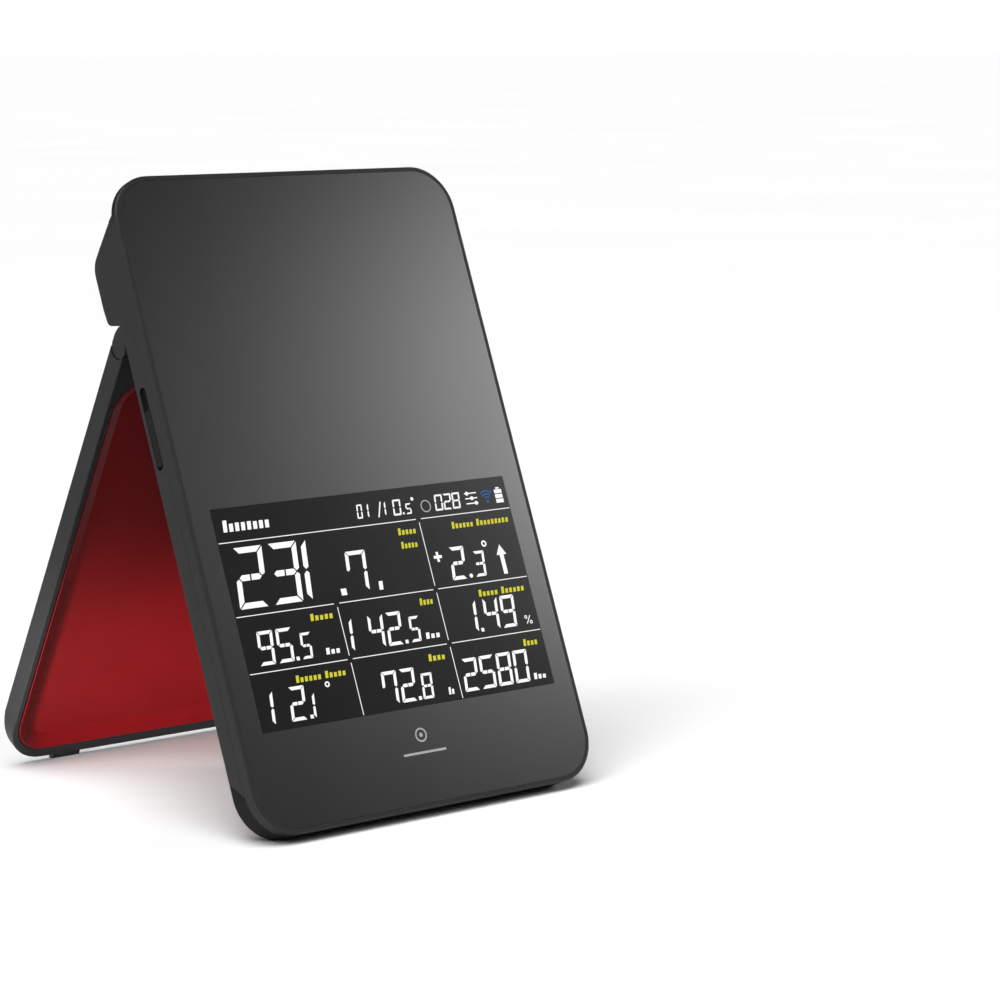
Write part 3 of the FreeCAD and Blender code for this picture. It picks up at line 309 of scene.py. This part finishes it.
METAL = {"Metallic": 1.0}
finishes = {
    "case_plastic": case_plastic(),
    "panel_gloss": panel_gloss(),
    "display_black": display_black(),
    "tray_red": tray_red(),
    "rubber_black": rubber_black(),
    "steel": plain_finish("steel", (0.50, 0.50, 0.51), (0.62, 0.62, 0.63), rough=0.32, size=0.002,
                          depth=0.000004, stretch=(0.2, 1.0, 1.0), **METAL),
    "copper": plain_finish("copper", (0.78, 0.36, 0.18), (0.90, 0.48, 0.26), rough=0.30, size=0.003,
                           **METAL),
    "board_green": circuit_board(),
    "chip_black": plain_finish("chip_black", (0.012, 0.012, 0.013), (0.022, 0.022, 0.024), rough=0.55,
                               size=0.002),
    "lcd": plain_finish("lcd", (0.03, 0.035, 0.03), (0.04, 0.045, 0.04), rough=0.12, size=0.02,
                        depth=0.000001),
    "guide_white": plain_finish("guide_white", (0.78, 0.78, 0.76), (0.86, 0.86, 0.85), rough=0.4,
                                size=0.01),
    "tape_black": plain_finish("tape_black", (0.01, 0.01, 0.01), (0.018, 0.018, 0.018), rough=0.7,
                               size=0.003),
    "battery_foil": plain_finish("battery_foil", (0.42, 0.43, 0.45), (0.58, 0.59, 0.61), rough=0.38,
                                 size=0.006, depth=0.00005, **METAL),
    "ribbon_amber": plain_finish("ribbon_amber", (0.40, 0.14, 0.02), (0.50, 0.19, 0.03), rough=0.35,
                                 size=0.001, stretch=(1.0, 0.1, 0.1)),
    "lead_red": plain_finish("lead_red", (0.42, 0.01, 0.01), (0.50, 0.015, 0.015), rough=0.45,
                             size=0.002),
    "speaker_black": plain_finish("speaker_black", (0.010, 0.010, 0.010), (0.018, 0.018, 0.018),
                                  rough=0.6, size=0.003),
    "magnet": plain_finish("magnet", (0.20, 0.20, 0.21), (0.30, 0.30, 0.31), rough=0.42, size=0.003,
                           **METAL),
    "mesh_fabric": woven_mesh(),
    "bush_acetal": plain_finish("bush_acetal", (0.70, 0.69, 0.66), (0.78, 0.77, 0.74), rough=0.4),
    "segment_white": lit("segment_white", (0.95, 0.95, 0.95)),
    "segment_grey": lit("segment_grey", (0.42, 0.42, 0.43)),
    "label_yellow": lit("label_yellow", (0.60, 0.57, 0.035)),
    "icon_blue": lit("icon_blue", (0.03, 0.10, 0.32)),
    "print_grey": plain_finish("print_grey", (0.30, 0.30, 0.31), (0.36, 0.36, 0.37), rough=0.45,
                               size=0.002, depth=0.000002),
}


def dress_nodes():
    """Give every CAD node the finish of the material slot that the record names for it."""
    for node in frame["nodes"].values():
        name = node.data.materials[0].name.split(".")[0]
        for slot in node.material_slots:
            slot.material = finishes[name]


# ------------------------------------------------------- figures on the display

class Relief:
    """Flat shapes that stand just proud of a face, gathered in one mesh; in millimetres."""

    lift = 0.03     # how far the shapes stand out of the face
    sink = 0.04     # how far they reach into it

    def __init__(self):
        self.mesh = bmesh.new()

    def corners(self, points, height):
        return [self.mesh.verts.new((x * MM, y * MM, height * MM)) for x, y in points]

    def outline(self, points):
        """A closed shape, its points given anticlockwise."""
        top = self.corners(points, self.lift)
        bottom = self.corners(points, -self.sink)
        self.mesh.faces.new(top)
        self.mesh.faces.new(bottom[::-1])
        for here in range(len(points)):
            after = (here + 1) % len(points)
            self.mesh.faces.new((bottom[here], bottom[after], top[after], top[here]))

    def bar(self, left, low, right, high):
        self.outline([(left, low), (right, low), (right, high), (left, high)])

    def disc(self, across, up, radius, count=24):
        turns = [2 * math.pi * step / count for step in range(count)]
        self.outline([(across + radius * math.cos(a), up + radius * math.sin(a)) for a in turns])

    def band(self, across, up, radius, stroke, start=0.0, end=360.0, count=36):
        """Part of a ring, as short blocks that share their ends."""
        closed = end - start >= 360
        steps = count if closed else count + 1
        turns = [math.radians(start + (end - start) * step / count) for step in range(steps)]
        loops = []
        for edge in (radius - stroke / 2, radius + stroke / 2):
            points = [(across + edge * math.cos(a), up + edge * math.sin(a)) for a in turns]
            loops.append((self.corners(points, self.lift), self.corners(points, -self.sink)))
        (inner_top, inner_low), (outer_top, outer_low) = loops
        for here in range(count):
            after = (here + 1) % steps
            self.mesh.faces.new((outer_top[here], outer_top[after], inner_top[after], inner_top[here]))
            self.mesh.faces.new((inner_low[here], inner_low[after], outer_low[after], outer_low[here]))
            self.mesh.faces.new((outer_low[here], outer_low[after], outer_top[after], outer_top[here]))
            self.mesh.faces.new((inner_top[here], inner_top[after], inner_low[after], inner_low[here]))
        if not closed:
            for end_step, order in ((0, 1), (count, -1)):
                ring = (outer_top[end_step], inner_top[end_step], inner_low[end_step], outer_low[end_step])
                self.mesh.faces.new(ring[::order])

    def finish(self, name, axes, slot):
        """Make the piece, lay it on the face and let it ride on the case."""
        data = bpy.data.meshes.new(name)
        self.mesh.to_mesh(data)
        self.mesh.free()
        data.materials.append(finishes[slot])
        piece = new_object(name, data)
        piece.matrix_world = axes
        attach(piece, "case")


class Digit(NamedTuple):
    """Size of a seven-segment digit; advance is the step to the next one."""
    width: float
    height: float
    stroke: float
    advance: float = 0.0


CARRY = Digit(width=10.2, height=18.1, stroke=1.75, advance=12.35)
CARRY_TENTHS = Digit(width=7.4, height=12.3, stroke=1.2)
MAIN = Digit(width=5.5, height=10.0, stroke=1.0, advance=6.7)
MAIN_ONE = Digit(width=5.5, height=9.7, stroke=1.0)
TENTHS = Digit(width=3.8, height=7.7, stroke=0.8)
HEADER_ONE = Digit(width=3.0, height=4.3, stroke=0.5)

SEGMENTS_OF = {"0": "abcdef", "1": "bc", "2": "abged", "3": "abgcd", "4": "fgbc",
               "5": "afgcd", "7": "fabc", "8": "abcdefg", "9": "abcdfg"}
SLANT = 0.125               # how far the figures lean to the right, for each step up
SEGMENT_GAP = 0.16          # between two segments, as a share of their stroke

WORD_GAP = 0.7              # between two words, as a share of a letter's room
LETTER = (0.1, 0.74)        # where a letter's block starts and ends, as shares of its room
LOW_LETTER = (0.64, 0.72)   # how high a word's later letters are, as shares of its first


def segment_shapes(size):
    """The seven segments of an upright digit; the middle one is in two halves."""
    width, height, stroke = size.width, size.height, size.stroke
    gap = stroke * SEGMENT_GAP
    middle = height / 2
    half = stroke / 2
    top = [(gap, height), (gap + stroke, height - stroke), (width - gap - stroke, height - stroke),
           (width - gap, height)]
    right = [(width, height - gap), (width - stroke, height - gap - stroke),
             (width - stroke, middle + half + gap), (width - half, middle + gap),
             (width, middle + half)]
    left_half = [(gap + half, middle), (gap + stroke, middle - half), (width / 2 - gap, middle - half),
                 (width / 2 - gap, middle + half), (gap + stroke, middle + half)]

    def across(points):
        return [(width - x, y) for x, y in reversed(points)]

    def over(points):
        return [(x, height - y) for x, y in reversed(points)]

    return {"a": [top], "d": [over(top)], "b": [right], "c": [over(right)], "f": [across(right)],
            "e": [over(across(right))], "g": [left_half, across(left_half)]}


def digits(relief, text, left, low, size):
    """Seven-segment digits; left and low are the foot of the first one."""
    shapes = segment_shapes(size)
    for place, character in enumerate(text):
        for segment in SEGMENTS_OF[character]:
            for shape in shapes[segment]:
                relief.outline([(left + place * size.advance + x + SLANT * y, low + y) for x, y in shape])


def point(relief, left, low, side=1.1):
    """A square decimal point."""
    relief.bar(left, low, left + side, low + side)


def plus_sign(relief, across, up, arm, half):
    """A plus: one upright bar, and a short one on each side of it."""
    relief.bar(across - half, up - arm, across + half, up + arm)
    relief.bar(across + half, up - half, across + arm, up + half)
    relief.bar(across - arm, up - half, across - half, up + half)


def up_arrow(relief, across, low, neck, tip, half_shaft, half_head):
    """An arrow that points straight up; its head starts at the neck."""
    relief.outline([(across - half_shaft, low), (across + half_shaft, low), (across + half_shaft, neck),
                    (across + half_head, neck), (across, tip), (across - half_head, neck),
                    (across - half_shaft, neck)])


def greeked(relief, left, right, low, height, lengths, words):
    """Words shown as rows of plain blocks, one for each letter, that spell nothing."""
    cell = (right - left) / (sum(lengths) + (len(lengths) - 1) * WORD_GAP)
    across = left
    for length in lengths:
        for place in range(length):
            top = height if place == 0 else height * words.uniform(*LOW_LETTER)
            lean = SLANT * top
            start, end = (across + cell * share for share in LETTER)
            relief.outline([(start, low), (end, low), (end + lean, low + top), (start + lean, low + top)])
            across += cell
        across += cell * WORD_GAP


# What the display shows. Places are in millimetres from the window's lower left corner. The random
# source called words gives the letters their heights, in the order of dress_display's calls.

def display_grid():
    """Ruled lines between the readouts, broken where they would cross."""
    grid = Relief()
    half_line = 0.12
    break_half = 1.0
    rule_gap = 1.1
    left_end, right_end, lowest = 0.4, 110.1, 0.3
    header, upper, lower = 56.1, 34.1, 17.2
    first, second = 36.45, 74.0
    for height, breaks in ((header, (second,)), (upper, (first, second)), (lower, (first, second))):
        ends = [left_end] + [at + side for at in breaks for side in (-break_half, break_half)] + [right_end]
        for start, end in zip(ends[::2], ends[1::2]):
            grid.bar(start, height - half_line, end, height + half_line)
    bottom_row = (lowest, lower - rule_gap)
    middle_row = (lower + rule_gap, upper - rule_gap)
    top_row = (upper + rule_gap, header - rule_gap)
    for across, rows in ((first, (bottom_row, middle_row)), (second, (bottom_row, middle_row, top_row))):
        for low, high in rows:
            grid.bar(across - half_line, low, across + half_line, high)
    grid.finish("display_grid", WINDOW, "segment_white")


def carry_readout(words):
    """231.7 in the largest digits, and its unit."""
    carry = Relief()
    digits(carry, "23", 2.4, 36.2, CARRY)
    digits(carry, "1", 18.2, 36.2, CARRY)
    point(carry, 39.1, 36.2, side=2.0)
    digits(carry, "7", 42.2, 36.7, CARRY_TENTHS)
    greeked(carry, left=53.0, right=55.2, low=36.3, height=2.6, lengths=(1,), words=words)
    carry.finish("carry_readout", WINDOW, "segment_white")


def direction_readout():
    """A plus sign, 2.3 degrees and an arrow."""
    direction = Relief()
    digits(direction, "2", 81.4, 36.0, Digit(width=5.6, height=10.2, stroke=1.1))
    direction.disc(88.7, 36.7, 0.65)
    digits(direction, "3", 90.5, 36.1, Digit(width=4.2, height=7.9, stroke=0.85))
    direction.band(96.6, 46.0, radius=0.75, stroke=0.5)
    plus_sign(direction, 77.75, 43.8, arm=1.55, half=0.45)
    up_arrow(direction, 102.4, low=35.8, neck=41.9, tip=45.1, half_shaft=0.75, half_head=1.9)
    direction.finish("direction_readout", WINDOW, "segment_white")


def swing_readout(words):
    """95.5 and its unit."""
    swing = Relief()
    digits(swing, "95", 4.7, 19.2, MAIN)
    point(swing, 17.7, 19.2)
    digits(swing, "5", 19.8, 19.3, TENTHS)
    greeked(swing, left=28.4, right=33.9, low=19.6, height=1.9, lengths=(3,), words=words)
    swing.finish("swing_readout", WINDOW, "segment_white")


def ball_readout(words):
    """142.5 and its unit."""
    ball = Relief()
    digits(ball, "1", 33.5, 19.4, MAIN_ONE)
    digits(ball, "42", 45.0, 19.2, MAIN)
    point(ball, 58.0, 19.2)
    digits(ball, "5", 60.2, 19.3, TENTHS)
    greeked(ball, left=65.8, right=71.6, low=19.6, height=1.9, lengths=(3,), words=words)
    ball.finish("ball_readout", WINDOW, "segment_white")


def ratio_readout():
    """1.49 and a per cent sign."""
    ratio = Relief()
    digits(ratio, "1", 80.9, 19.4, MAIN_ONE)
    point(ratio, 87.4, 19.2)
    digits(ratio, "49", 89.4, 19.3, MAIN._replace(height=9.9))
    for across, up in ((105.7, 21.6), (107.4, 19.9)):
        ratio.band(across, up, radius=0.42, stroke=0.28, count=20)
    ratio.outline([(105.5, 19.5), (105.85, 19.5), (107.6, 22.0), (107.25, 22.0)])
    ratio.finish("ratio_readout", WINDOW, "segment_white")


def angle_readout():
    """12.1 degrees."""
    angle = Relief()
    digits(angle, "1", -0.3, 1.9, MAIN_ONE)
    digits(angle, "2", 11.0, 1.9, MAIN)
    point(angle, 17.7, 1.9)
    digits(angle, "1", 16.0, 1.9, TENTHS._replace(height=7.3))
    angle.band(26.2, 11.0, radius=0.65, stroke=0.45)
    angle.finish("angle_readout", WINDOW, "segment_white")


def apex_readout(words):
    """72.8 and its unit."""
    apex = Relief()
    digits(apex, "72", 44.9, 1.9, MAIN)
    point(apex, 57.8, 1.9)
    digits(apex, "8", 59.5, 1.9, TENTHS._replace(width=4.1))
    greeked(apex, left=69.2, right=71.6, low=2.0, height=2.2, lengths=(2,), words=words)
    apex.finish("apex_readout", WINDOW, "segment_white")


def spin_readout(words):
    """2580 and its unit."""
    spin = Relief()
    digits(spin, "2580", 75.7, 1.9, MAIN._replace(width=5.6, advance=6.67))
    greeked(spin, left=102.9, right=108.1, low=2.2, height=1.9, lengths=(3,), words=words)
    spin.finish("spin_readout", WINDOW, "segment_white")


def header_readout():
    """01, a slanted bar, 10.5 degrees and 028."""
    header = Relief()
    digits(header, "0", 51.6, 58.4, Digit(width=2.0, height=4.3, stroke=0.45))
    digits(header, "1", 53.0, 58.4, HEADER_ONE)
    header.outline([(59.3, 58.1), (59.75, 58.1), (61.5, 62.8), (61.05, 62.8)])
    digits(header, "1", 59.4, 58.4, HEADER_ONE._replace(width=3.1))
    digits(header, "0", 65.2, 58.0, Digit(width=3.0, height=4.9, stroke=0.55))
    header.disc(69.1, 58.4, 0.35, count=16)
    digits(header, "5", 70.0, 58.0, Digit(width=2.1, height=3.3, stroke=0.45))
    header.disc(73.4, 62.5, 0.55, count=20)
    digits(header, "028", 81.4, 57.9, Digit(width=3.0, height=5.0, stroke=0.55, advance=3.42))
    header.finish("header_readout", WINDOW, "segment_white")


def status_icons():
    """Three sliders with round knobs, and a battery with its cells full."""
    icons = Relief()
    knob_radius, half_rail = 0.62, 0.18
    rail_left, rail_right = 93.8, 98.5
    for up, knob in ((62.1, 94.8), (60.5, 96.4), (58.9, 97.7)):
        icons.bar(rail_left, up - half_rail, knob - knob_radius, up + half_rail)
        icons.bar(knob + knob_radius, up - half_rail, rail_right, up + half_rail)
        icons.disc(knob, up, knob_radius, count=20)
    cell_left, cell_right, cell_height, cap_inset = 105.7, 108.6, 1.2, 0.8
    icons.bar(cell_left + cap_inset, 62.5, cell_right - cap_inset, 63.0)
    for low in (58.1, 59.6, 61.1):
        icons.bar(cell_left, low, cell_right, low + cell_height)
    icons.finish("status_icons", WINDOW, "segment_white")


def ball_icon():
    """A plain ring before the header's last figures."""
    ball = Relief()
    ball.band(78.0, 59.8, radius=1.75, stroke=0.32)
    ball.finish("ball_icon", WINDOW, "segment_grey")


def wireless_icon():
    """Three arcs over a dot."""
    wireless = Relief()
    across, up = 102.3, 58.9
    wireless.disc(across, up, 0.5, count=20)
    for radius in (1.4, 2.4, 3.4):
        wireless.band(across, up, radius, stroke=0.45, start=50.0, end=130.0, count=12)
    wireless.finish("wireless_icon", WINDOW, "icon_blue")


def mode_label(words):
    """One word at the header's left end."""
    mode = Relief()
    greeked(mode, left=2.8, right=19.8, low=59.2, height=3.5, lengths=(8,), words=words)
    mode.finish("mode_label", WINDOW, "segment_white")


def quantity_labels(words):
    """The labels over the readouts, each with its ends, its foot and how long its words are."""
    labels = Relief()
    height = 2.1
    for left, right, low, lengths in ((65.0, 72.1, 51.9, (5,)), (65.0, 71.5, 47.7, (5,)),
                                      (85.8, 108.6, 51.8, (6, 9)), (25.7, 34.3, 30.0, (5,)),
                                      (66.6, 71.9, 29.9, (4,)), (89.6, 108.0, 29.9, (5, 6)),
                                      (15.5, 33.9, 12.8, (6, 5)), (64.7, 71.4, 12.8, (4,)),
                                      (102.0, 107.9, 12.8, (4,))):
        greeked(labels, left, right, low, height, lengths, words)
    labels.finish("quantity_labels", WINDOW, "label_yellow")


def dress_display():
    words = random.Random(5)
    display_grid()
    carry_readout(words)
    direction_readout()
    swing_readout(words)
    ball_readout(words)
    ratio_readout()
    angle_readout()
    apex_readout(words)
    spin_readout(words)
    header_readout()
    status_icons()
    ball_icon()
    wireless_icon()
    mode_label(words)
    quantity_labels(words)


def dress_panel():
    """A plain printed ring and bar below the display; places are from the panel's lower edge."""
    mark = Relief()
    ring_up, half_bar = 20.2, 8.0
    mark.band(0.0, ring_up, radius=1.9, stroke=0.5)
    mark.disc(0.0, ring_up, 0.65, count=20)
    mark.bar(-half_bar, 14.6, half_bar, 15.3)
    mark.finish("panel_mark", PANEL, "print_grey")


# ------------------------------------------------------------ studio and camera

PANEL_MIDDLE = (0.0, -0.0287, 0.1)     # near the middle of the front panel, in metres
FRAME_ORIGIN = (0.0, 0.0, 0.0)


def floor():
    """A wide, dull floor of nearly one pale shade."""
    finish = Finish("studio_floor", Specular_IOR_Level=0.0)
    cloud = finish.noise(size=0.4, detail=2.0)
    finish.colour(finish.mottled(cloud, (0.90, 0.90, 0.90), (0.92, 0.92, 0.92)))
    finish.roughness(finish.between(cloud, 0.75, 0.85))
    data = bpy.data.meshes.new("studio_floor")
    half = 30.0
    corners = [(-half, -half, 0), (half, -half, 0), (half, half, 0), (-half, half, 0)]
    data.from_pydata(corners, [], [(0, 1, 2, 3)])
    data.materials.append(finish.material)
    plane = new_object("studio_floor", data)


def room_light(horizon, above, start, end):
    """A white room that is bright at the horizon and dimmer above.

    It fades between two heights of a direction, start and end; 1 is straight up.
    """
    world = bpy.data.worlds.new("studio")
    world.use_nodes = True
    nodes, links = world.node_tree.nodes, world.node_tree.links
    background = nodes["Background"]
    background.inputs["Color"].default_value = (1, 1, 1, 1)
    direction = nodes.new("ShaderNodeTexCoord")
    parts = nodes.new("ShaderNodeSeparateXYZ")
    links.new(direction.outputs["Generated"], parts.inputs["Vector"])
    fade = nodes.new("ShaderNodeMapRange")
    fade.interpolation_type = "SMOOTHSTEP"
    set_range(fade, start, end, horizon, above)
    links.new(parts.outputs["Z"], fade.inputs["Value"])
    links.new(fade.outputs["Result"], background.inputs["Strength"])
    bpy.context.scene.world = world


def place_light(name, kind, place, aim, **settings):
    """A light that shines from place towards aim and doesn't show itself."""
    data = bpy.data.lights.new(name, kind)
    for setting, value in settings.items():
        setattr(data, setting, value)
    light = new_object(name, data)
    light.location = place
    light.rotation_euler = (Vector(aim) - Vector(place)).to_track_quat("-Z", "Y").to_euler()
    light.visible_camera = False


def from_panel(turn, rise, distance):
    """A place this far from the panel, turned to the right of straight ahead and raised."""
    turn, rise = math.radians(turn), math.radians(rise)
    ahead = Vector((math.sin(turn) * math.cos(rise), -math.cos(turn) * math.cos(rise), math.sin(rise)))
    return Vector(PANEL_MIDDLE) + ahead * distance


def studio():
    """White room, a strip that gleams in the panel, two soft suns and a glow on the red tray."""
    room_light(horizon=1.05, above=0.05, start=0.012, end=0.06)
    place_light("strip_light", "AREA", place=from_panel(turn=51.3, rise=24.2, distance=1.6),
                aim=PANEL_MIDDLE, shape="RECTANGLE", size=0.05, size_y=0.365, energy=4.7)
    place_light("overhead_light", "SUN", place=(-0.6, -0.5, 2.0), aim=FRAME_ORIGIN, energy=2.95,
                angle=math.radians(50))
    place_light("left_light", "SUN", place=(-1.5, -0.2, 1.2), aim=FRAME_ORIGIN, energy=0.8,
                angle=math.radians(30))
    place_light("tray_light", "SPOT", place=(-0.40, -0.0987, 0.014), aim=(0.0, 0.0513, 0.014),
                energy=38.0, spot_size=math.radians(16), spot_blend=1.0, shadow_soft_size=0.03)
    bpy.context.scene.view_settings.view_transform = "Standard"
    bpy.context.scene.view_settings.exposure = 0.0


def camera():
    """The viewing angle: from the left of the front, a little above the top edge."""
    turn_right = 40.3575
    look_down = 8.2899
    data = bpy.data.cameras.new("camera")
    data.lens = 115.0
    data.sensor_width = 36.0
    view = new_object("camera", data)
    view.location = (-0.57963, -0.78055, 0.22771)
    view.rotation_euler = (math.radians(90 - look_down), 0.0, math.radians(-turn_right))
    bpy.context.scene.camera = view


camera()
dress_nodes()
dress_display()
dress_panel()
floor()
studio()
